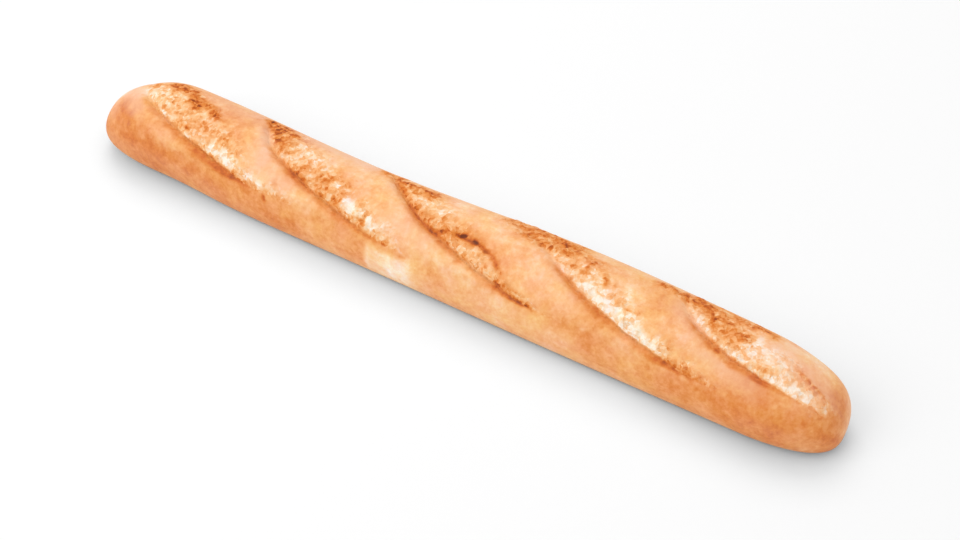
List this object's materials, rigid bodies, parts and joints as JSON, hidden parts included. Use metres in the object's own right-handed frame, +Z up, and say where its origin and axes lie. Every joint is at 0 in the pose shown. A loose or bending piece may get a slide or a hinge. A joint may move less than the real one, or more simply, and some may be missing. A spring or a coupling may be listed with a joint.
{
  "type": "baguette",
  "caption": "Long bread loaf with blunt round ends, a flat sole and slanting cuts opened along its top.",
  "frame": {"origin": "centre of the flat sole's plane, under the middle of the loaf's bounding box", "axes": "+X along the loaf towards the end that the last cut trails over, +Y towards the far side where the cuts begin, +Z up"},
  "size_m": [0.56, 0.0722, 0.0572],
  "materials": {
    "crust": null
  },
  "bodies": {
    "root": {"loaf": "crust"}
  },
  "joints": []
}
